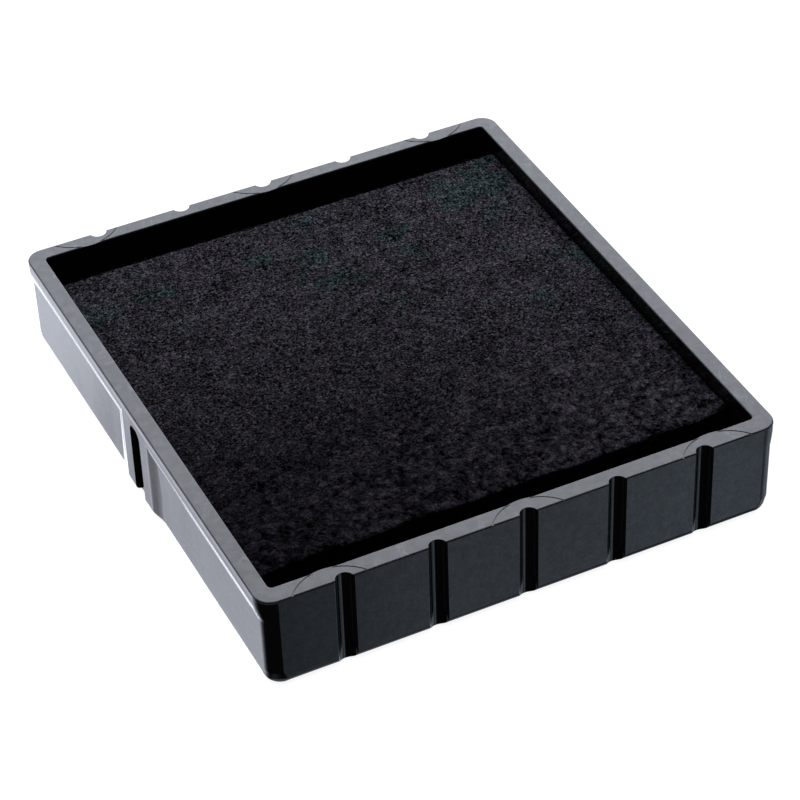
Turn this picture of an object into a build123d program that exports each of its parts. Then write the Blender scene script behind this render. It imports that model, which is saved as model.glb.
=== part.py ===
from build123d import *
import math
import os

# Replaceable ink pad for a square self-inking stamp: an open moulded cassette, a soft
# layer that holds the ink, and the felt that the text plate rests on.
# Millimetres. +Z is up, +Y points to the back, X runs along the grooved end faces.
# The origin is the centre of the cassette's underside.

# Cassette shell
WIDTH = 50.0                  # over the two guide lips, along X
DEPTH = 55.25                 # over the two grooved end faces, along Y
HEIGHT = 9.9
SIDE_WALL = 1.67
FRONT_WALL = 1.85
BACK_WALL = 1.62
FLOOR = 1.2
CORNER_RADIUS = 1.65          # at the rim; the wall below follows the same centres
BASE_CORNER_RADIUS = 2.1      # the corners swell to this over the last bit above the base
BASE_CORNER_HEIGHT = 1.7
INNER_CORNER_RADIUS = 0.4
INNER_FLOOR_RADIUS = 0.3
BASE_EDGE_RADIUS = 1.15
RIM_OUTER_RADIUS = 0.18
RIM_INNER_RADIUS = 0.15

# Guide lips: the top of each side wall bulges past the drafted wall below it
LIP_STEP = 0.35               # from the widest part of the lip back to the wall
LIP_RADIUS = 4.6              # of the bulging face
LIP_TOP_LEAN = 8.0            # degrees, how far the face leans inwards at the rim
LIP_FOOT_RADIUS = 0.8         # hollow rounding from the lip into the wall
LIP_SLICES = 8
LIP_FOOT_SLICES = 3
SIDE_DRAFT = 0.05             # further set-back of the side wall at the base

# Finger grooves in both end faces, full height
GROOVE_COUNT = 5
GROOVE_PITCH = 8.65
GROOVE_WIDTH = 1.68
GROOVE_DEPTH = 0.75
GROOVE_MOUTH_RADIUS = 0.18
GROOVE_MOUTH_CLEARANCE = 0.01 # keeps the cutter's flat mouth just off the end face

# Detent boss with its notch, half way along each side wall
BOSS_LAND = 1.8               # flat top on each side of the notch
BOSS_RAMP = 1.7               # length of each sloping end
BOSS_ROOT = 1.0               # how far the boss is rooted into the wall
BOSS_BOTTOM = 0.7             # underside of the boss above the base
BOSS_CREST_RADIUS = 2.0       # rounding from the land to the ramp
BOSS_FOOT_RADIUS = 6.0        # hollow rounding from the ramp into the wall
BOSS_FOOT_LENGTH = 1.0        # stretch of wall that the boss runs out under
BOSS_FOOT_DEPTH = 0.01        # keeps that stretch just inside the wall's face
BOSS_BOTTOM_RADIUS = 0.5
NOTCH_WIDTH = 2.2
NOTCH_DEPTH = 0.58
NOTCH_TOP_GAP = 1.2           # from the rim down to the top of the notch
NOTCH_CORNER_RADIUS = 0.9

# Ejector pin marks on the rim of both end walls
PIN_COUNT = 3
PIN_PITCH = 18.6
PIN_RADIUS = 4.25
PIN_OVERHANG = 0.05           # how far a pin reaches past the inner face of the wall
PIN_LINE_WIDTH = 0.12
PIN_LINE_DEPTH = 0.06
PIN_BULGE_HEIGHT = 0.5

# Moulding gate on the underside
GATE_DISH_RADIUS = 2.2
GATE_DISH_DEPTH = 0.35
GATE_STUB_RADIUS = 0.6
GATE_STUB_HEIGHT = 0.2

# Soft layers
PAD_WIDTH = 46.4
PAD_LENGTH = 45.5
PAD_CENTRE_Y = 0.75            # the pad sits a little nearer the back wall
PAD_RECESS = 1.6              # felt surface below the rim
FELT_THICKNESS = 2.5
LAYER_GAP = 0.05
PAD_CORNER_RADIUS = 0.3
PAD_EDGE_RADIUS = 0.45
RESERVOIR_SETBACK = 0.4       # reservoir edge inside the felt edge

OVERCUT = 1.0                 # how far cutters run past the faces that they cut


def end_faces():
    """Direction of each grooved end face along Y."""
    return (-1, 1)


def side_faces():
    """Direction of each side wall along X."""
    return (-1, 1)


def row(count, pitch):
    """Positions of a centred row of features."""
    first = -pitch * (count - 1) / 2
    return [first + pitch * index for index in range(count)]


def end_wall(end):
    """Thickness of the wall behind one end face."""
    return BACK_WALL if end > 0 else FRONT_WALL


def outer_section(height, set_back, corner_radius):
    """Outer outline at one height, narrower on the two side walls only."""
    return Plane.XY.offset(height) * RectangleRounded(WIDTH - 2 * set_back, DEPTH, corner_radius)


def lip_widest_height():
    """Height at which the lip stands out furthest."""
    return HEIGHT - LIP_RADIUS * math.sin(math.radians(LIP_TOP_LEAN))


def lip_profile():
    """Height and set-back of points up the lip's face, from the wall to the rim."""
    steepest = math.acos(1 - LIP_STEP / (LIP_RADIUS + LIP_FOOT_RADIUS))
    top_lean = math.radians(LIP_TOP_LEAN)
    foot_height = lip_widest_height() - (LIP_RADIUS + LIP_FOOT_RADIUS) * math.sin(steepest)
    points = []
    for step in range(LIP_FOOT_SLICES):
        lean = steepest * step / LIP_FOOT_SLICES
        rise = LIP_FOOT_RADIUS * math.sin(lean)
        set_back = LIP_STEP - LIP_FOOT_RADIUS * (1 - math.cos(lean))
        points.append((foot_height + rise, set_back))
    for step in range(LIP_SLICES + 1):
        lean = -steepest + (steepest + top_lean) * step / LIP_SLICES
        height = lip_widest_height() + LIP_RADIUS * math.sin(lean)
        points.append((height, LIP_RADIUS * (1 - math.cos(lean))))
    return points


def outer_block():
    """Solid envelope: drafted side walls that roll out into the guide lips."""
    wall_radius = CORNER_RADIUS - LIP_STEP
    sections = [
        outer_section(0, LIP_STEP + SIDE_DRAFT, BASE_CORNER_RADIUS),
        outer_section(BASE_CORNER_HEIGHT, LIP_STEP + SIDE_DRAFT, wall_radius),
    ]
    for height, set_back in lip_profile():
        sections.append(outer_section(height, set_back, CORNER_RADIUS - set_back))
    block = loft(sections, ruled=True)
    base_edges = block.edges().group_by(Axis.Z)[0]
    block = fillet(base_edges, BASE_EDGE_RADIUS)
    rim_edges = block.edges().group_by(Axis.Z)[-1]
    return fillet(rim_edges, RIM_OUTER_RADIUS)


def cavity():
    """Space inside the walls, rounded where it meets the floor."""
    length = DEPTH - FRONT_WALL - BACK_WALL
    outline = RectangleRounded(WIDTH - 2 * SIDE_WALL, length, INNER_CORNER_RADIUS)
    middle = (FRONT_WALL - BACK_WALL) / 2
    space = extrude(Pos(0, middle, FLOOR) * outline, HEIGHT)
    floor_edges = space.edges().group_by(Axis.Z)[0]
    return fillet(floor_edges, INNER_FLOOR_RADIUS)


def round_inner_rim(shell):
    """Soften the edge between the rim and the cavity."""
    inner_loop = shell.edges().group_by(Axis.Z)[-1].filter_by(
        lambda edge: abs(edge.center().X) < WIDTH / 2 - SIDE_WALL / 2
        and abs(edge.center().Y) < DEPTH / 2 - BACK_WALL / 2
    )
    return fillet(inner_loop, RIM_INNER_RADIUS)


def groove_cutter(x, end):
    """Vertical groove whose mouth flares smoothly into the end face."""
    radius = (GROOVE_WIDTH**2 / 4 + GROOVE_DEPTH**2) / (2 * GROOVE_DEPTH)
    mouth_width = GROOVE_WIDTH + 4 * GROOVE_MOUTH_RADIUS
    mouth = Pos(0, OVERCUT / 2 + GROOVE_MOUTH_CLEARANCE) * Rectangle(mouth_width, OVERCUT)
    profile = Pos(0, radius - GROOVE_DEPTH) * Circle(radius) + mouth
    throat = profile.vertices().filter_by(
        lambda corner: abs(corner.Y) < 2 * GROOVE_MOUTH_CLEARANCE
        and abs(corner.X) < GROOVE_WIDTH / 2 + GROOVE_MOUTH_RADIUS
    )
    profile = fillet(throat, GROOVE_MOUTH_RADIUS)
    turn = 0 if end > 0 else 180
    placed = Pos(x, end * DEPTH / 2, -OVERCUT) * Rot(0, 0, turn) * profile
    return extrude(placed, HEIGHT + 2 * OVERCUT, dir=(0, 0, 1))


def boss(side):
    """Ramped block on a side wall, flush with the guide lip."""
    half_land = NOTCH_WIDTH / 2 + BOSS_LAND
    half_foot = half_land + BOSS_RAMP
    half_root = half_foot + BOSS_FOOT_LENGTH
    face = WIDTH / 2
    foot = face - LIP_STEP - SIDE_DRAFT - BOSS_FOOT_DEPTH
    outline = Polyline(
        (side * (foot - BOSS_ROOT), -half_root),
        (side * foot, -half_root),
        (side * foot, -half_foot),
        (side * face, -half_land),
        (side * face, half_land),
        (side * foot, half_foot),
        (side * foot, half_root),
        (side * (foot - BOSS_ROOT), half_root),
        close=True,
    )
    plan = make_face(outline)
    crests = plan.vertices().filter_by(lambda corner: side * corner.X > face - LIP_STEP / 2)
    plan = fillet(crests, BOSS_CREST_RADIUS)
    feet = plan.vertices().filter_by(
        lambda corner: abs(side * corner.X - foot) < LIP_STEP / 4
        and abs(abs(corner.Y) - half_foot) < BOSS_FOOT_LENGTH / 2
    )
    plan = fillet(feet, BOSS_FOOT_RADIUS)
    block = extrude(Pos(0, 0, BOSS_BOTTOM) * plan, lip_widest_height() - BOSS_BOTTOM, dir=(0, 0, 1))
    outer_edges = block.edges().group_by(Axis.Z)[0].filter_by(
        lambda edge: side * edge.center().X > foot + LIP_STEP / 4
    )
    return fillet(outer_edges, BOSS_BOTTOM_RADIUS)


def notch_cutter(side):
    """Slot in the middle of the boss, open at the base."""
    top = HEIGHT - NOTCH_TOP_GAP
    height = top + OVERCUT
    profile = RectangleRounded(NOTCH_WIDTH, 2 * height, NOTCH_CORNER_RADIUS)
    floor_centre = (side * (WIDTH / 2 - NOTCH_DEPTH), 0, -OVERCUT)
    notch_floor = Plane(origin=floor_centre, x_dir=(0, 1, 0), z_dir=(side, 0, 0))
    return extrude(notch_floor * profile, NOTCH_DEPTH + OVERCUT)


def pin_centre(x, end):
    """Axis of one ejector pin, placed by how far the pin reaches over the cavity."""
    inner_face = DEPTH / 2 - end_wall(end)
    return Pos(x, end * (inner_face - PIN_OVERHANG + PIN_RADIUS), 0)


def pin_bulge(x, end):
    """Sliver of the pin's end that shows past the inner face of the wall."""
    disc = pin_centre(x, end) * Cylinder(
        PIN_RADIUS, PIN_BULGE_HEIGHT, align=(Align.CENTER, Align.CENTER, Align.MAX)
    )
    wall = end_wall(end)
    keep = Pos(x, end * (DEPTH / 2 - wall), 0) * Box(2 * PIN_RADIUS, wall, 4 * PIN_BULGE_HEIGHT)
    return Pos(0, 0, HEIGHT) * (disc & keep)


def pin_line(x, end):
    """Fine witness line that the pin's edge leaves on the rim."""
    height = 2 * PIN_LINE_DEPTH
    ring = Cylinder(PIN_RADIUS, height) - Cylinder(PIN_RADIUS - PIN_LINE_WIDTH, 2 * height)
    reach = end_wall(end) - RIM_INNER_RADIUS
    keep = Pos(x, end * (DEPTH / 2 - reach / 2), 0) * Box(2 * PIN_RADIUS, reach, 2 * height)
    return Pos(0, 0, HEIGHT) * ((pin_centre(x, end) * ring) & keep)


def gate_mark():
    """Shallow dish around the stub left by the moulding gate."""
    dish = Cylinder(GATE_DISH_RADIUS, 2 * GATE_DISH_DEPTH)
    stub = Pos(0, 0, GATE_DISH_DEPTH) * Cylinder(
        GATE_STUB_RADIUS, GATE_STUB_HEIGHT, align=(Align.CENTER, Align.CENTER, Align.MAX)
    )
    return dish - stub


def tray():
    """Moulded cassette: one piece of glossy plastic."""
    shell = round_inner_rim(outer_block() - cavity())
    for side in side_faces():
        shell = shell + boss(side)
        shell = shell - notch_cutter(side)
    for end in end_faces():
        for x in row(GROOVE_COUNT, GROOVE_PITCH):
            shell = shell - groove_cutter(x, end)
        for x in row(PIN_COUNT, PIN_PITCH):
            shell = shell + pin_bulge(x, end)
            shell = shell - pin_line(x, end)
    return shell - gate_mark()


def soft_slab(width, length, bottom, thickness, edge_radius):
    """Rectangular soft layer with rounded corners and a softened upper edge."""
    outline = Pos(0, PAD_CENTRE_Y, bottom) * RectangleRounded(width, length, PAD_CORNER_RADIUS)
    slab = extrude(outline, thickness)
    top_edges = slab.edges().group_by(Axis.Z)[-1]
    return fillet(top_edges, edge_radius)


def inking_felt():
    """Felt that carries the ink to the text plate."""
    bottom = HEIGHT - PAD_RECESS - FELT_THICKNESS
    return soft_slab(PAD_WIDTH, PAD_LENGTH, bottom, FELT_THICKNESS, PAD_EDGE_RADIUS)


def ink_reservoir():
    """Soft absorbent layer between the felt and the floor."""
    bottom = FLOOR + LAYER_GAP
    thickness = HEIGHT - PAD_RECESS - FELT_THICKNESS - LAYER_GAP - bottom
    width = PAD_WIDTH - 2 * RESERVOIR_SETBACK
    length = PAD_LENGTH - 2 * RESERVOIR_SETBACK
    return soft_slab(width, length, bottom, thickness, PAD_EDGE_RADIUS)


PIECES = {
    "tray": tray,
    "ink_reservoir": ink_reservoir,
    "inking_felt": inking_felt,
}

os.makedirs("parts", exist_ok=True)
for name, build in PIECES.items():
    export_step(build(), f"parts/{name}.step")
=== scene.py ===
import math
import random

import bpy
import numpy as np
from mathutils import Matrix, Vector, noise


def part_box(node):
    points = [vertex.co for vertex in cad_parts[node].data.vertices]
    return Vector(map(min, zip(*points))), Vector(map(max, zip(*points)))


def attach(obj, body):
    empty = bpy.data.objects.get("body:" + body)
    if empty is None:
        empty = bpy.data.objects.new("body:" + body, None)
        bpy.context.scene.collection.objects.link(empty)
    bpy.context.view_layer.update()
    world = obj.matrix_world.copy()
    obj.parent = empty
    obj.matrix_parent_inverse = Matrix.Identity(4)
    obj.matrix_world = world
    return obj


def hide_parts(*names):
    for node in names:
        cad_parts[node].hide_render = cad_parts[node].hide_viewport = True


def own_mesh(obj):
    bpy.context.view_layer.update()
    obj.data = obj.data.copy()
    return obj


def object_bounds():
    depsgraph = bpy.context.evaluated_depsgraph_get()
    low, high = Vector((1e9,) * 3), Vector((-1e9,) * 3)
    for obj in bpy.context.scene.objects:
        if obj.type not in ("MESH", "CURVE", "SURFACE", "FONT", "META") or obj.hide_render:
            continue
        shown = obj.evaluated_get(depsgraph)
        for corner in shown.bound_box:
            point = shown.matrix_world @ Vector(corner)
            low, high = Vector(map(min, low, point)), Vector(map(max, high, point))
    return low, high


# Looks of the ink pad cassette: glossy black moulding, inked felt with loose fibres, and
# the soaked layer under it. Everything is in metres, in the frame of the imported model.

MM = 0.001

# Felt
SIDE_GAP = 0.13 * MM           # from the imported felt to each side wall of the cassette
SIDE_REACH = 0.75              # how much of that gap the felt fills
FELT_PITCH = 0.2 * MM          # spacing of the surface grid
FELT_ROUNDING = 0.3 * MM
FRONT_ZONE = 2 * MM            # strip along the front edge that wanders and sags
BACK_ZONE = 1.5 * MM
FRONT_SAG = 0.15 * MM          # the felt's front edge hangs a little low
CORNER_ZONE = 3.5 * MM
CORNER_CURL = 0.45 * MM        # its front right corner is pushed up by the wall
LUMP_DEPTH = 0.05 * MM
TUFT_DEPTH = 0.045 * MM
NAP_DEPTH = 0.03 * MM

EDGE_WANDER = 0.35 * MM        # slow and quick sway of the front edge
EDGE_FRAY = 0.12 * MM
BACK_WANDER = 0.08 * MM

# Loose fibres: how many, how thick, and the seeds of their shapes and thicknesses
SURFACE_FIBRES = 6500
SURFACE_FIBRE_RADIUS = 0.016 * MM
SURFACE_SEEDS = (11, 12)
EDGE_FIBRES = 700
EDGE_FIBRE_RADIUS = 0.011 * MM
EDGE_SEEDS = (21, 22)
FIBRE_STEPS = 4

# Reservoir
FOAM_PITCH = 0.5 * MM
FOAM_ROUNDING = 0.5 * MM

# Colours
PLASTIC_DARK = (0.0012, 0.0012, 0.0014, 1.0)
PLASTIC_PALE = (0.0022, 0.0022, 0.0025, 1.0)
INK_VIOLET = (0.0107, 0.0092, 0.0129, 1.0)
INK_GREY = (0.0096, 0.0096, 0.0126, 1.0)
INK_COLD = (0.0074, 0.0106, 0.0122, 1.0)
# Fibre colours: their own dark and pale tones, which also carry the painted shade and sheen across the
# felt
FIBRE_DARK_AND_SHADED = (0.0006, 0.0006, 0.0008, 1.0)
FIBRE_PALE_AND_LIT = (0.026, 0.0245, 0.030, 1.0)
FOAM_PORE = (0.0008, 0.0008, 0.001, 1.0)
FOAM_CELL = (0.006, 0.006, 0.007, 1.0)
WHITE = (1.0, 1.0, 1.0, 1.0)

# Stage
FLOOR_SIZE = 6.0
FLOOR_DROP = 0.02 * MM         # the floor stays clear of the underside
FLOOR_PAINT = (0.3, 0.3, 0.3, 1.0)
FLOOR_GLOW = 0.88

# What the glossy plastic mirrors. Strips of light: angles in degrees over which each one
# rises and fades, and its strength. Round cards: direction, inner and outer angle, strength.
WIDE_BOARD = ((-80, -50), (34, 78), 1.32)
BACK_STRIPS = [
    ((-20, -8), (-4, 12), 2.4),
    ((19.0, 21.0), (30, 44), 0.5),
]
FRONT_STRIPS = [
    ((20.0, 20.6), (22, 24), 0.35),
    ((21, 26), (36, 44), 0.58),
    ((28, 36), (36, 44), 0.18),
    ((36, 44), (110, 130), 0.3),
    ((56, 62), (84, 96), 0.45),
]
CARDS = [
    ((0.34, 0.70, 0.63), 18, 48, 4.9),
    ((-0.6, 0.75, 0.3), 15, 40, 1.0),
    ((0.0, 0.0, 1.0), 20, 80, 0.3),
    ((0.0, 0.0, -1.0), 12, 30, 0.45),
]
OVERHEAD_LIGHT = ((0.12, 0.45, 0.88), 10, 100, 1.9)
TINT_BEHIND = (0.89, 0.93, 1.045, 1.0)
TINT_IN_FRONT = (0.80, 0.95, 1.14, 1.0)

FELT_BODY = "felt"
CASSETTE_BODY = "cassette"

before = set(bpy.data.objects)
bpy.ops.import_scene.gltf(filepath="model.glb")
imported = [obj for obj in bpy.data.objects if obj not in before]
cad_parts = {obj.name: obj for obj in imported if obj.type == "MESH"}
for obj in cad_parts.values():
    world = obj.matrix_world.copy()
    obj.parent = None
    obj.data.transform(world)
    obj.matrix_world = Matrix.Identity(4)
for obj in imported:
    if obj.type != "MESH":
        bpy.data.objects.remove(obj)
cad_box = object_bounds()


# ---------------------------------------------------------------- node helpers

class Nodes:
    """Short way to write a node tree: each call adds a node and returns its output."""

    def __init__(self, tree):
        self.tree = tree
        tree.nodes.clear()

    def add(self, kind, **settings):
        node = self.tree.nodes.new(kind)
        for name, value in settings.items():
            setattr(node, name, value)
        return node

    def put(self, socket, value):
        """Links an output to a socket, or sets the socket to a plain value."""
        if isinstance(value, bpy.types.NodeSocket):
            self.tree.links.new(value, socket)
        else:
            socket.default_value = value

    def position(self):
        return self.add("ShaderNodeTexCoord").outputs["Object"]

    def normal(self):
        return self.add("ShaderNodeNewGeometry").outputs["Normal"]

    def axis(self, vector, name):
        split = self.add("ShaderNodeSeparateXYZ")
        self.put(split.inputs[0], vector)
        return split.outputs[name]

    def scaled(self, vector, factors):
        node = self.add("ShaderNodeVectorMath", operation="MULTIPLY")
        self.put(node.inputs[0], vector)
        self.put(node.inputs[1], factors)
        return node.outputs[0]

    def warped(self, vector, by, amount):
        """The vector pushed about by a colour noise."""
        node = self.add("ShaderNodeVectorMath", operation="MULTIPLY_ADD")
        self.put(node.inputs[0], by)
        self.put(node.inputs[1], (amount, amount, amount))
        self.put(node.inputs[2], vector)
        return node.outputs[0]

    def noise(self, vector, size, detail=2.0, roughness=0.5, output="Fac"):
        """Noise whose blobs are about `size` metres wide."""
        node = self.add("ShaderNodeTexNoise")
        self.put(node.inputs["Vector"], vector)
        node.inputs["Scale"].default_value = 1.0 / size
        node.inputs["Detail"].default_value = detail
        node.inputs["Roughness"].default_value = roughness
        return node.outputs[output]

    def cells(self, vector, size, feature="F1", randomness=1.0):
        node = self.add("ShaderNodeTexVoronoi", feature=feature)
        self.put(node.inputs["Vector"], vector)
        node.inputs["Scale"].default_value = 1.0 / size
        node.inputs["Randomness"].default_value = randomness
        return node.outputs["Distance"]

    def math(self, operation, a, b=0.0, clamp=False):
        node = self.add("ShaderNodeMath", operation=operation, use_clamp=clamp)
        self.put(node.inputs[0], a)
        self.put(node.inputs[1], b)
        return node.outputs[0]

    def ramp(self, value, low, high, out_low=0.0, out_high=1.0):
        """Smooth step from out_low at low to out_high at high."""
        node = self.add("ShaderNodeMapRange", interpolation_type="SMOOTHSTEP")
        self.put(node.inputs["Value"], value)
        self.put(node.inputs["From Min"], low)
        self.put(node.inputs["From Max"], high)
        self.put(node.inputs["To Min"], out_low)
        self.put(node.inputs["To Max"], out_high)
        return node.outputs["Result"]

    def mix(self, share, a, b):
        """Colour mix."""
        node = self.add("ShaderNodeMix", data_type="RGBA")
        self.put(node.inputs[0], share)
        self.put(node.inputs[6], a)
        self.put(node.inputs[7], b)
        return node.outputs[2]

    def blend(self, share, a, b):
        """Number mix."""
        node = self.add("ShaderNodeMix", data_type="FLOAT")
        self.put(node.inputs[0], share)
        self.put(node.inputs[2], a)
        self.put(node.inputs[3], b)
        return node.outputs[0]

    def bump(self, height, distance, strength=1.0, under=None):
        node = self.add("ShaderNodeBump")
        node.inputs["Strength"].default_value = strength
        node.inputs["Distance"].default_value = distance
        self.put(node.inputs["Height"], height)
        if under is not None:
            self.put(node.inputs["Normal"], under)
        return node.outputs["Normal"]

    def surface(self, **inputs):
        """Principled surface wired to the material's output."""
        shader = self.add("ShaderNodeBsdfPrincipled")
        for name, value in inputs.items():
            self.put(shader.inputs[name.replace("_", " ")], value)
        output = self.add("ShaderNodeOutputMaterial")
        self.tree.links.new(shader.outputs["BSDF"], output.inputs["Surface"])
        return shader


def new_material(name):
    material = bpy.data.materials.new(name)
    material.use_nodes = True
    return material, Nodes(material.node_tree)


# ---------------------------------------------------------------- materials

def scratches(n, place, size, stretch, turn, density):
    """Thin straight marks in one direction, only in some places."""
    along = n.add("ShaderNodeVectorRotate", rotation_type="Z_AXIS")
    n.put(along.inputs["Vector"], place)
    along.inputs["Angle"].default_value = math.radians(turn)
    cells = n.cells(n.scaled(along.outputs[0], (1.0, stretch, 1.0)), size, "DISTANCE_TO_EDGE")
    marks = n.ramp(cells, 0.0, 0.035, 1.0, 0.0)
    return n.math("MULTIPLY", marks, n.ramp(n.noise(place, 2.5 * MM, 2.0), density, density + 0.08))


def cassette_plastic(rim_height):
    """Injection-moulded black plastic: polished walls, a satin rim, faint flow and handling marks."""
    material, n = new_material("cassette_plastic")
    place = n.position()
    height = n.axis(place, "Z")
    facing_up = n.ramp(n.axis(n.normal(), "Z"), 0.75, 0.97)
    near_rim = n.ramp(height, rim_height - 0.4 * MM, rim_height - 0.05 * MM)
    rim = n.math("MULTIPLY", facing_up, near_rim)
    flow = n.noise(n.scaled(place, (1.0, 1.0, 0.35)), 6 * MM, 3.0)
    grain = n.noise(place, 0.22 * MM, 3.0, 0.6)
    fine = n.noise(place, 0.07 * MM, 2.0, 0.6)
    marks = n.math("ADD", scratches(n, place, 0.9 * MM, 0.12, 20, 0.52),
                   scratches(n, place, 0.7 * MM, 0.15, -65, 0.56))
    wall_gloss = n.ramp(flow, 0.3, 0.7, 0.10, 0.17)
    wall_gloss = n.math("ADD", wall_gloss, n.math("MULTIPLY", marks, 0.06))
    rim_gloss = n.ramp(grain, 0.3, 0.7, 0.36, 0.5)
    haze = n.math("MULTIPLY", n.ramp(flow, 0.3, 0.7, 0.95, 1.05), n.ramp(grain, 0.3, 0.7, 0.84, 1.16))
    haze = n.math("MULTIPLY", haze, n.ramp(n.noise(place, 0.9 * MM, 2.0), 0.3, 0.7, 0.91, 1.09))
    rim_haze = n.math("ADD", haze, n.math("MULTIPLY", marks, 0.3))
    colour = n.mix(n.ramp(grain, 0.3, 0.7), PLASTIC_DARK, PLASTIC_PALE)
    relief = n.bump(grain, 0.006 * MM, 0.6)
    rim_relief = n.bump(fine, 0.01 * MM, 1.0, under=relief)
    wall_relief = n.bump(flow, 0.02 * MM, 0.3)
    lean = n.add("ShaderNodeMix", data_type="VECTOR")
    n.put(lean.inputs[0], rim)
    n.put(lean.inputs[4], wall_relief)
    n.put(lean.inputs[5], rim_relief)
    n.surface(
        Base_Color=colour,
        Roughness=n.blend(rim, wall_gloss, rim_gloss),
        IOR=1.5,
        Specular_IOR_Level=n.math("MULTIPLY", n.blend(rim, haze, rim_haze), 0.5),
        Normal=lean.outputs[1],
    )
    return material


def painted_sheen_ramp(n, place, shade_corner):
    """Painted sheen and shade on the felt: darkest at its front left corner, brighter away from it
    towards the back right.
    """
    from_corner = n.add("ShaderNodeVectorMath", operation="SUBTRACT")
    n.put(from_corner.inputs[0], place)
    n.put(from_corner.inputs[1], shade_corner)
    away = n.add("ShaderNodeVectorMath", operation="LENGTH")
    n.put(away.inputs[0], n.scaled(from_corner.outputs[0], (0.7, 1.0, 1.0)))
    return n.ramp(away.outputs["Value"], 0.0, 54 * MM, 0.34, 1.40)


def uneven(n, parts):
    """One on average, pushed up and down by weighted noises, never quite nought."""
    value = 1.0
    for fac, weight in parts:
        push = n.math("MULTIPLY", n.math("SUBTRACT", fac, 0.5), weight)
        value = n.math("ADD", push, value)
    return n.math("MAXIMUM", value, 0.12)


def inked_felt(shade_corner):
    """Damp nonwoven felt: matted fibres, blotches where it is wetter, faint cool and violet tints,
    painted sheen and shade from front left to back right, and painted shade on its sides.
    """
    material, n = new_material("inked_felt")
    place = n.position()
    swirl = n.noise(place, 1.5 * MM, 2.0, 0.5, "Color")
    bent = n.warped(place, swirl, 0.8 * MM)
    mat = n.noise(bent, 0.34 * MM, 2.0, 0.6)
    soft = n.ramp(n.axis(place, "Y"), shade_corner[1], shade_corner[1] + 22 * MM, 1.0, 0.0)
    lit = uneven(n, [
        (mat, n.blend(soft, 3.4, 2.4)),
        (n.noise(place, 0.18 * MM, 1.0), n.blend(soft, 3.6, 1.8)),
        (n.noise(bent, 0.75 * MM, 2.0), n.blend(soft, 0.9, 3.0)),
        (n.noise(place, 3.5 * MM, 3.0, 0.6), 0.8),
    ])
    # Painted sheen and shade: brighter towards the back right, darkest at the front left corner
    painted_sheen = painted_sheen_ramp(n, place, shade_corner)
    lit = n.math("MULTIPLY", n.math("POWER", lit, 2.2), painted_sheen)
    # Painted shade: the felt's sides and rounded rims go darker the more they turn away from straight
    # up
    painted_side_shade = n.ramp(n.axis(n.normal(), "Z"), 0.2, 0.75, 0.12, 1.0)
    lit = n.math("MULTIPLY", lit, painted_side_shade)
    tint = n.ramp(n.noise(place, 1.6 * MM, 2.0), 0.4, 0.6)
    pale = n.mix(tint, INK_VIOLET, INK_GREY)
    cold = n.math("MULTIPLY", painted_sheen, n.ramp(n.noise(place, 5 * MM, 2.0), 0.50, 0.62))
    pale = n.mix(n.ramp(cold, 0.9, 1.2), pale, INK_COLD)
    colour = n.add("ShaderNodeVectorMath", operation="SCALE")
    n.put(colour.inputs[0], pale)
    n.put(colour.inputs["Scale"], lit)
    relief = n.bump(mat, 0.10 * MM, 1.0)
    n.surface(
        Base_Color=colour.outputs[0],
        Roughness=n.ramp(mat, 0.3, 0.7, 0.75, 0.95),
        Specular_IOR_Level=n.math("MULTIPLY", lit, 0.025),
        Normal=relief,
    )
    return material


def loose_fibre(shade_corner):
    """Single fibres wet with ink, darker in places, with painted shade towards the felt's front left
    corner and painted sheen away from it.
    """
    material, n = new_material("loose_fibre")
    place = n.position()
    along = n.noise(place, 0.5 * MM, 2.0)
    # The fibres' own darker places, times painted sheen and shade that darken them towards the felt's
    # front left corner
    lit = n.math("MULTIPLY", n.ramp(along, 0.35, 0.65, 0.25, 1.0), painted_sheen_ramp(n, place, shade_corner))
    n.surface(
        Base_Color=n.mix(lit, FIBRE_DARK_AND_SHADED, FIBRE_PALE_AND_LIT),
        Roughness=n.ramp(along, 0.3, 0.7, 0.5, 0.7),
        Specular_IOR_Level=0.04,
    )
    return material


def soaked_foam():
    """Open-celled layer full of ink: wet sheen between dark pores."""
    material, n = new_material("soaked_foam")
    place = n.position()
    pores = n.cells(place, 0.45 * MM)
    pore = n.ramp(pores, 0.15, 0.5)
    wet = n.noise(place, 2.0 * MM, 2.0)
    n.surface(
        Base_Color=n.mix(pore, FOAM_PORE, FOAM_CELL),
        Roughness=n.ramp(wet, 0.35, 0.65, 0.5, 0.8),
        Specular_IOR_Level=0.08,
        Normal=n.bump(pore, 0.15 * MM, 0.8),
    )
    return material


# ---------------------------------------------------------------- felt

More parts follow.
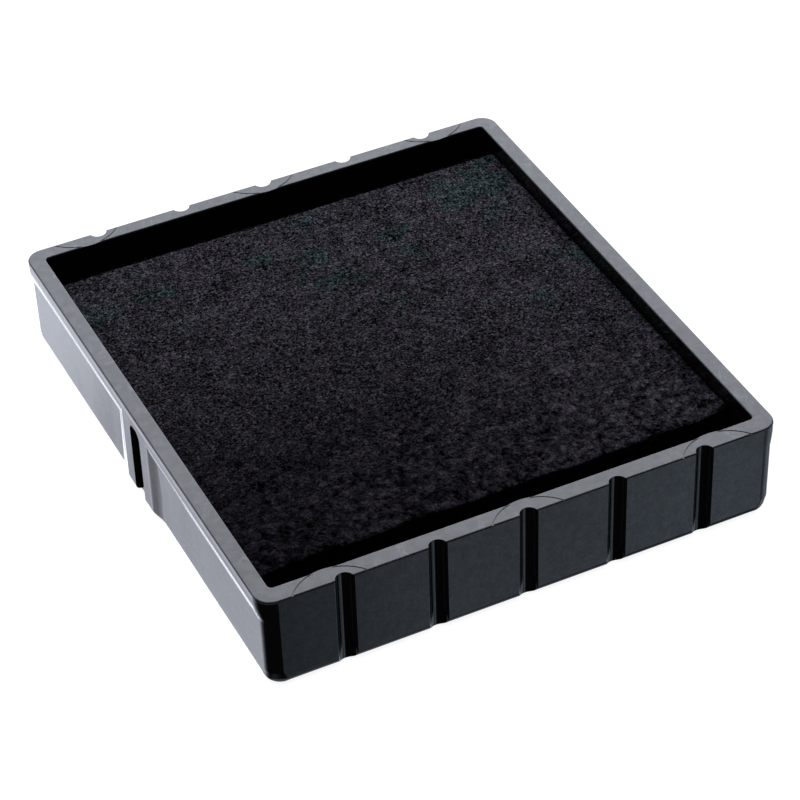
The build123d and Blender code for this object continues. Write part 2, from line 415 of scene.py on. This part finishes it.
def rounded_slab(name, low, high, pitch, rounding, shape):
    """Closed slab on an even surface grid, rounded along every edge and then shaped point by point."""
    size = high - low
    counts = [max(2, round(size[i] / pitch)) for i in range(3)]
    index = {}
    points = []

    def point(i, j, k):
        key = (i, j, k)
        if key not in index:
            index[key] = len(points)
            cell = [low[a] + size[a] * (i, j, k)[a] / counts[a] for a in range(3)]
            points.append(cell)
        return index[key]

    faces = []
    nx, ny, nz = counts
    for i in range(nx):
        for j in range(ny):
            painted_side_shade = [(i, j), (i + 1, j), (i + 1, j + 1), (i, j + 1)]
            faces.append([point(a, b, nz) for a, b in painted_side_shade])
    for k in range(nz):
        for i in range(nx):
            front = [(i, k), (i + 1, k), (i + 1, k + 1), (i, k + 1)]
            back = [(i + 1, k), (i, k), (i, k + 1), (i + 1, k + 1)]
            faces.append([point(a, 0, c) for a, c in front])
            faces.append([point(a, ny, c) for a, c in back])
        for j in range(ny):
            left = [(j + 1, k), (j, k), (j, k + 1), (j + 1, k + 1)]
            right = [(j, k), (j + 1, k), (j + 1, k + 1), (j, k + 1)]
            faces.append([point(0, b, c) for b, c in left])
            faces.append([point(nx, b, c) for b, c in right])
    border = [(i, 0) for i in range(nx)] + [(nx, j) for j in range(ny)]
    border += [(i, ny) for i in range(nx, 0, -1)] + [(0, j) for j in range(ny, 0, -1)]
    centre = len(points)
    points.append([(low[0] + high[0]) / 2, (low[1] + high[1]) / 2, low[2]])
    for here, after in zip(border, border[1:] + border[:1]):
        faces.append((point(*after, 0), point(*here, 0), centre))
    where = np.array(points)
    core_low = np.array(low) + rounding
    core_high = np.array(high) - rounding
    core = np.clip(where, core_low, core_high)
    core[:, 2] = np.minimum(where[:, 2], core_high[2])
    reach = where - core
    length = np.linalg.norm(reach, axis=1)
    outside = length > 1e-9
    where[outside] = core[outside] + reach[outside] / length[outside, None] * rounding
    where = np.array([shape(Vector(p)) for p in where])
    mesh = bpy.data.meshes.new(name)
    mesh.from_pydata(where.tolist(), [], faces)
    mesh.validate()
    piece = bpy.data.objects.new(name, mesh)
    bpy.context.scene.collection.objects.link(piece)
    for polygon in mesh.polygons:
        polygon.use_smooth = True
    return piece


def felt_limits():
    """The felt's space: as packed, but out to the side walls that it touches."""
    low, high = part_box("inking_felt")
    low.x -= SIDE_REACH * SIDE_GAP
    high.x += SIDE_REACH * SIDE_GAP
    return low, high


def felt_surface(low, high):
    """Shapes one point of the felt: a wandering front edge, a matted top and slack rounded rims."""
    def shape(p):
        up = (p.z - low.z) / (high.z - low.z)
        front = max(0.0, 1.0 - (p.y - low.y) / FRONT_ZONE)
        back = max(0.0, 1.0 - (high.y - p.y) / BACK_ZONE)
        wander = noise.noise(Vector((p.x / (5 * MM), 3.1, 0.0))) * EDGE_WANDER
        wander += noise.noise(Vector((p.x / (1.2 * MM), 7.7, 0.0))) * EDGE_FRAY
        p.y += wander * front
        p.y += noise.noise(Vector((p.x / (2 * MM), 11.3, 0.0))) * BACK_WANDER * back
        p.z -= up * front * front * FRONT_SAG
        to_corner = Vector((high.x - p.x, p.y - low.y)).length
        p.z += up * max(0.0, 1.0 - to_corner / CORNER_ZONE) ** 2 * CORNER_CURL
        lumps = noise.noise(Vector((p.x, p.y, 0.0)) / (2.2 * MM)) * LUMP_DEPTH
        tufts = noise.noise(Vector((p.x * 0.6, p.y, 0.0)) / (0.5 * MM)) * TUFT_DEPTH
        nap = noise.noise(Vector((p.x * 0.7, p.y, 5.0)) / (0.25 * MM)) * NAP_DEPTH
        p.z += up * (lumps + tufts + nap - LUMP_DEPTH)
        return p
    return shape


def build_felt(material):
    low, high = felt_limits()
    felt = rounded_slab("felt_pad", low, high, FELT_PITCH, FELT_ROUNDING, felt_surface(low, high))
    felt.data.materials.append(material)
    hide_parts("inking_felt")
    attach(felt, FELT_BODY)


def strand(points, radius, sides=3):
    """Vertices and faces of one thin closed tube through the points."""
    verts = []
    faces = []
    for index, p in enumerate(points):
        ahead = points[min(index + 1, len(points) - 1)] - points[max(index - 1, 0)]
        side = ahead.cross(Vector((0.0, 0.0, 1.0)))
        if side.length < 1e-9:
            side = Vector((1.0, 0.0, 0.0))
        side.normalize()
        over = side.cross(ahead).normalized()
        taper = radius * (0.45 if index in (0, len(points) - 1) else 1.0)
        for corner in range(sides):
            angle = 2 * math.pi * corner / sides
            verts.append(p + side * (math.cos(angle) * taper) + over * (math.sin(angle) * taper))
    for ring in range(len(points) - 1):
        for corner in range(sides):
            a = ring * sides + corner
            b = ring * sides + (corner + 1) % sides
            faces.append((a, b, b + sides, a + sides))
    faces.append(tuple(range(sides - 1, -1, -1)))
    faces.append(tuple(range(len(verts) - sides, len(verts))))
    return verts, faces


def strands_piece(name, paths, radius, material, seed):
    """One piece holding many loose fibres."""
    chance = random.Random(seed)
    verts = []
    faces = []
    for path in paths:
        ring_verts, ring_faces = strand(path, radius * chance.uniform(0.7, 1.3))
        start = len(verts)
        verts.extend(ring_verts)
        faces.extend(tuple(v + start for v in f) for f in ring_faces)
    mesh = bpy.data.meshes.new(name)
    mesh.from_pydata([tuple(v) for v in verts], [], faces)
    mesh.materials.append(material)
    piece = bpy.data.objects.new(name, mesh)
    bpy.context.scene.collection.objects.link(piece)
    for polygon in mesh.polygons:
        polygon.use_smooth = True
    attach(piece, FELT_BODY)


def surface_fibres(low, high, count, seed):
    """Fibres lying on the felt, each a short curl that dips in and out of the surface."""
    chance = random.Random(seed)
    paths = []
    for _ in range(count):
        x = chance.uniform(low.x + 0.4 * MM, high.x - 0.4 * MM)
        y = chance.uniform(low.y + 0.8 * MM, high.y - 0.3 * MM)
        heading = chance.gauss(0.0, 0.9)
        turn = chance.gauss(0.0, 0.5)
        step = chance.uniform(0.12, 0.3) * MM
        lift = chance.uniform(0.02, 0.09) * MM
        path = []
        for index in range(FIBRE_STEPS + 1):
            rise = math.sin(math.pi * index / FIBRE_STEPS) * lift
            sink = FRONT_SAG * max(0.0, 1.0 - (y - low.y) / FRONT_ZONE) ** 2
            path.append(Vector((x, y, high.z - 0.06 * MM + rise - sink)))
            x += math.cos(heading) * step
            y += math.sin(heading) * step
            heading += turn
            x = min(max(x, low.x + 0.1 * MM), high.x - 0.1 * MM)
            y = min(max(y, low.y + 0.1 * MM), high.y - 0.1 * MM)
        paths.append(path)
    return paths


def edge_fibres(low, high, count, seed):
    """Fibre ends that stick out past the felt's four edges."""
    chance = random.Random(seed)
    paths = []
    for index in range(count):
        along_front = index % 2 == 0
        if along_front:
            at_front = chance.random() < 0.5
            x = chance.uniform(low.x + 0.3 * MM, high.x - 0.3 * MM)
            y = low.y + 0.5 * MM if at_front else high.y - 0.25 * MM
            out = Vector((0.0, -1.0 if at_front else 1.0, 0.0))
            reach = chance.uniform(0.15, 0.45) * MM
        else:
            at_left = chance.random() < 0.5
            x = low.x + 0.25 * MM if at_left else high.x - 0.25 * MM
            y = chance.uniform(low.y + 0.3 * MM, high.y - 0.3 * MM)
            out = Vector((-1.0 if at_left else 1.0, 0.0, 0.0))
            reach = chance.uniform(0.1, 0.28) * MM
        start = Vector((x, y, high.z - 0.2 * MM - chance.uniform(0.0, 0.25) * MM))
        drift = Vector((-out.y, out.x, 0.0)) * chance.gauss(0.0, 0.35) * MM
        up = Vector((0.0, 0.0, chance.uniform(0.05, 0.35) * MM))
        path = []
        for step in range(FIBRE_STEPS + 1):
            t = step / FIBRE_STEPS
            path.append(start + out * reach * t + drift * t * t + up * math.sin(2.2 * t))
        paths.append(path)
    return paths


def build_fibres():
    low, high = felt_limits()
    material = loose_fibre((low.x, low.y, high.z))
    lying = surface_fibres(low, high, SURFACE_FIBRES, SURFACE_SEEDS[0])
    strands_piece("felt_surface_fibres", lying, SURFACE_FIBRE_RADIUS, material, SURFACE_SEEDS[1])
    ends = edge_fibres(low, high, EDGE_FIBRES, EDGE_SEEDS[0])
    strands_piece("felt_edge_fibres", ends, EDGE_FIBRE_RADIUS, material, EDGE_SEEDS[1])


def build_reservoir(material):
    low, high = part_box("ink_reservoir")

    def shape(p):
        cell = noise.noise(p / (0.7 * MM)) * 0.06 * MM
        sway = noise.noise(p / (3 * MM)) * 0.15 * MM
        p.y += cell + sway
        p.x += cell
        return p

    foam = rounded_slab("reservoir_foam", low, high, FOAM_PITCH, FOAM_ROUNDING, shape)
    foam.data.materials.append(material)
    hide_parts("ink_reservoir")
    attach(foam, CASSETTE_BODY)
    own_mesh(foam)


# ---------------------------------------------------------------- stage

def build_floor():
    """Pale floor that stays light under the object, clear as glass when seen from below."""
    bpy.ops.mesh.primitive_plane_add(size=FLOOR_SIZE, location=(0.0, 0.0, -FLOOR_DROP))
    floor = bpy.context.object
    floor.name = "floor"
    material, n = new_material("studio_floor")
    paint = n.add("ShaderNodeBsdfDiffuse")
    paint.inputs["Color"].default_value = FLOOR_PAINT
    glow = n.add("ShaderNodeEmission")
    glow.inputs["Color"].default_value = WHITE
    glow.inputs["Strength"].default_value = FLOOR_GLOW
    both = n.add("ShaderNodeAddShader")
    n.put(both.inputs[0], paint.outputs[0])
    n.put(both.inputs[1], glow.outputs[0])
    one_sided = n.add("ShaderNodeMixShader")
    n.put(one_sided.inputs[0], n.add("ShaderNodeNewGeometry").outputs["Backfacing"])
    n.put(one_sided.inputs[1], both.outputs[0])
    n.put(one_sided.inputs[2], n.add("ShaderNodeBsdfTransparent").outputs[0])
    output = n.add("ShaderNodeOutputMaterial")
    n.put(output.inputs["Surface"], one_sided.outputs[0])
    floor.data.materials.append(material)
    floor.visible_glossy = False


def turn_in_degrees(n, sideways, ahead):
    """Angle of a direction round the vertical axis, nought straight ahead."""
    angle = n.math("ARCTAN2", sideways, ahead)
    return n.math("MULTIPLY", angle, 180.0 / math.pi)


def band(n, angle, rise, fall, level):
    """Vertical strip of light between two angles, with soft or crisp sides."""
    left = n.ramp(angle, rise[0], rise[1], 0.0, level)
    right = n.ramp(angle, fall[0], fall[1], 1.0, 0.0)
    return n.math("MULTIPLY", left, right)


def card(n, ray, towards, inner, outer, level):
    """Round soft card: full strength within the inner angle, none past the outer one, in degrees."""
    facing = n.add("ShaderNodeVectorMath", operation="DOT_PRODUCT")
    n.put(facing.inputs[0], ray)
    n.put(facing.inputs[1], tuple(Vector(towards).normalized()))
    low = math.cos(math.radians(outer))
    high = math.cos(math.radians(inner))
    return n.ramp(facing.outputs["Value"], low, high, 0.0, level)


def total(n, values):
    result = values[0]
    for value in values[1:]:
        result = n.math("ADD", result, value)
    return result


def mirrored_room(n, ray):
    """What the glossy plastic reflects: pale boards round the object, a softbox above and behind."""
    sideways = n.axis(ray, "X")
    ahead = n.axis(ray, "Y")
    from_back = turn_in_degrees(n, n.math("MULTIPLY", sideways, -1.0), ahead)
    from_front = turn_in_degrees(n, sideways, n.math("MULTIPLY", ahead, -1.0))
    height = n.axis(ray, "Z")
    rising = n.ramp(height, -0.65, -0.582, 0.88, 1.58)
    behind = n.math("MULTIPLY", band(n, from_back, *WIDE_BOARD), rising)
    surround = n.math("MULTIPLY", n.ramp(ahead, 0.25, -0.1, 0.0, 0.5), n.ramp(height, -0.50, -0.34))
    back_strips = [band(n, from_back, *strip) for strip in BACK_STRIPS]
    front_strips = [band(n, from_front, *strip) for strip in FRONT_STRIPS]
    boards = total(n, [behind, surround] + back_strips + front_strips)
    boards = n.math("MULTIPLY", boards, n.ramp(height, -0.9, -0.78))
    boards = n.math("MULTIPLY", boards, n.ramp(height, -0.05, 0.1, 1.0, 0.0))
    patches = n.ramp(n.noise(ray, 0.11, 2.0), 0.35, 0.65, 0.82, 1.18)
    boards = n.math("MULTIPLY", boards, patches)
    return total(n, [boards] + [card(n, ray, *one) for one in CARDS])


def studio_world():
    """Soft surroundings: mirror-like faces see boards and a softbox, the rest is light from above."""
    world = bpy.data.worlds.new("studio")
    bpy.context.scene.world = world
    world.use_nodes = True
    n = Nodes(world.node_tree)
    ray = n.add("ShaderNodeTexCoord").outputs["Generated"]
    path = n.add("ShaderNodeLightPath")
    mirror = n.add("ShaderNodeBackground")
    in_front = n.ramp(n.axis(ray, "Y"), 0.1, -0.3)
    n.put(mirror.inputs["Color"], n.mix(in_front, TINT_BEHIND, TINT_IN_FRONT))
    n.put(mirror.inputs["Strength"], mirrored_room(n, ray))
    above = n.add("ShaderNodeBackground")
    above.inputs["Color"].default_value = WHITE
    n.put(above.inputs["Strength"], card(n, ray, *OVERHEAD_LIGHT))
    choose = n.add("ShaderNodeMixShader")
    n.put(choose.inputs[0], path.outputs["Is Glossy Ray"])
    n.put(choose.inputs[1], above.outputs[0])
    n.put(choose.inputs[2], mirror.outputs[0])
    seen = n.add("ShaderNodeBackground")
    seen.inputs["Strength"].default_value = 1.0
    seen.inputs["Color"].default_value = WHITE
    final = n.add("ShaderNodeMixShader")
    n.put(final.inputs[0], path.outputs["Is Camera Ray"])
    n.put(final.inputs[1], choose.outputs[0])
    n.put(final.inputs[2], seen.outputs[0])
    output = n.add("ShaderNodeOutputWorld")
    n.put(output.inputs["Surface"], final.outputs[0])


# Viewpoint of the picture: angles round the object, distance and lens
VIEW_AZIMUTH = -24.927
VIEW_ELEVATION = 39.350
VIEW_ROLL = -2.057
VIEW_DISTANCE = 0.26996
VIEW_LENS = 132.715
VIEW_SENSOR = 36.0
VIEW_AIM = (-0.424 * MM, -3.440 * MM, 0.010 * MM)    # from the middle of the cassette


def build_camera():
    low, high = cad_box
    aim = (low + high) / 2 + Vector(VIEW_AIM)
    turn = math.radians(VIEW_AZIMUTH)
    lift = math.radians(VIEW_ELEVATION)
    back = Vector((
        math.sin(turn) * math.cos(lift),
        -math.cos(turn) * math.cos(lift),
        math.sin(lift),
    ))
    level_right = (-back).cross(Vector((0.0, 0.0, 1.0))).normalized()
    level_up = back.cross(level_right)
    roll = math.radians(VIEW_ROLL)
    right = level_right * math.cos(roll) + level_up * math.sin(roll)
    up = back.cross(right)
    data = bpy.data.cameras.new("photo_view")
    data.lens = VIEW_LENS
    data.sensor_width = VIEW_SENSOR
    camera = bpy.data.objects.new("photo_view", data)
    bpy.context.scene.collection.objects.link(camera)
    spin = Matrix((right, up, back)).transposed().to_4x4()
    camera.matrix_world = Matrix.Translation(aim + back * VIEW_DISTANCE) @ spin
    bpy.context.scene.camera = camera


# ---------------------------------------------------------------- build

def dress_cassette():
    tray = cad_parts["tray"]
    rim_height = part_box("tray")[1].z
    material = cassette_plastic(rim_height)
    tray.data.materials.clear()
    tray.data.materials.append(material)


dress_cassette()
felt_low, felt_high = felt_limits()
build_felt(inked_felt((felt_low.x, felt_low.y, felt_high.z)))
build_fibres()
build_reservoir(soaked_foam())
build_floor()
studio_world()
build_camera()
bpy.context.scene.view_settings.view_transform = "Standard"
